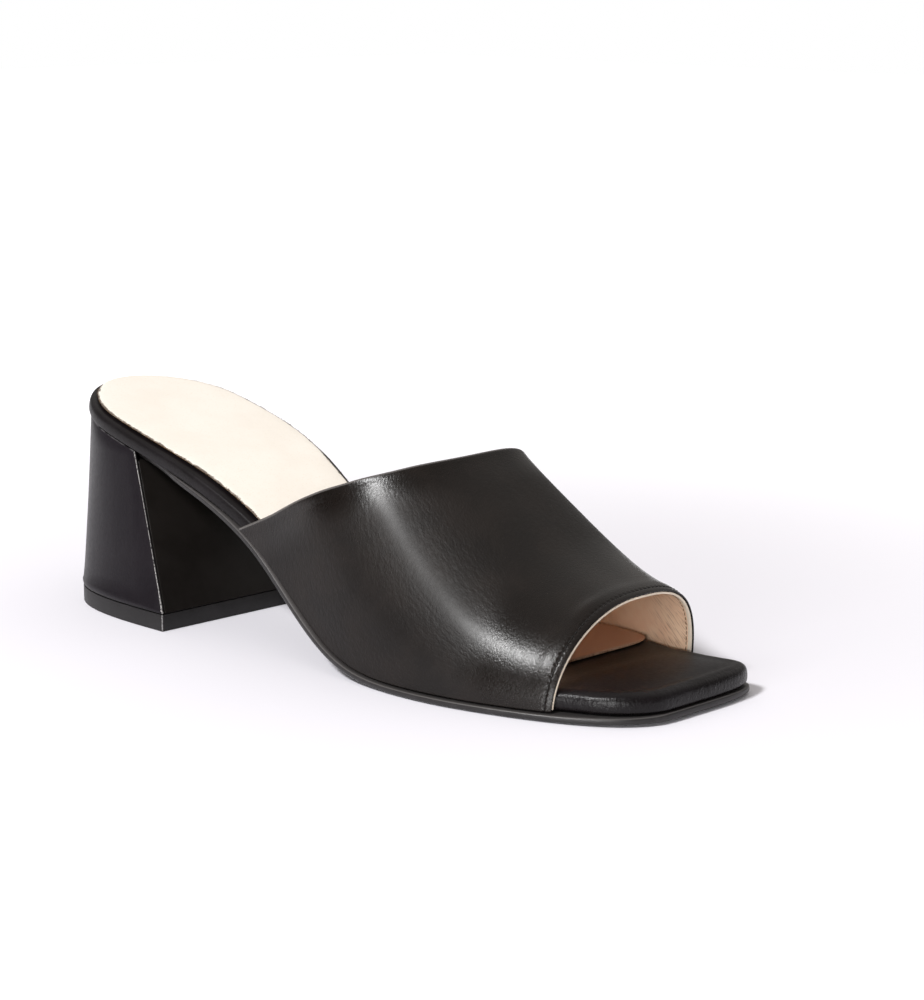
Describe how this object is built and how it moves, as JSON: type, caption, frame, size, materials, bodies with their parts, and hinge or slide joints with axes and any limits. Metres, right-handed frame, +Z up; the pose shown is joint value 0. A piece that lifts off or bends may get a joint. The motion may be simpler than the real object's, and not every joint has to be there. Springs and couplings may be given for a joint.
{
  "type": "heeled sandal",
  "caption": "Open-toe slip-on sandal for the right foot: one wide leather band over the instep, padded footbed with a pale sock, and a flared leather-covered block heel.",
  "frame": {"origin": "middle of the shoe's footprint, on the floor", "axes": "+X towards the toe, +Y towards the inner side of the foot, +Z up"},
  "size_m": [0.2324, 0.0796, 0.0639],
  "materials": {
    "upper_leather": "smooth black leather with a fine grain and a soft gloss",
    "footbed_leather": "smooth black leather, satin, over a padded board",
    "sock_leather": "pale cream leather, matte, with a raw cut edge",
    "lining": "pale tan lining leather, matte, finely wrinkled",
    "outsole_edge": "charcoal painted sole edge, satin",
    "heel_leather": "smooth black leather, glued round the heel block",
    "heel_breast": "black leather on the heel's front face, matte",
    "top_lift": "dense black heel rubber, satin",
    "thread": "black sewing thread"
  },
  "bodies": {
    "root": {"upper": "upper_leather", "footbed": "footbed_leather", "sock": "sock_leather", "outsole": "outsole_edge", "heel": "heel_breast", "heel_cover": "heel_leather", "top_lift": "top_lift"}
  },
  "joints": []
}
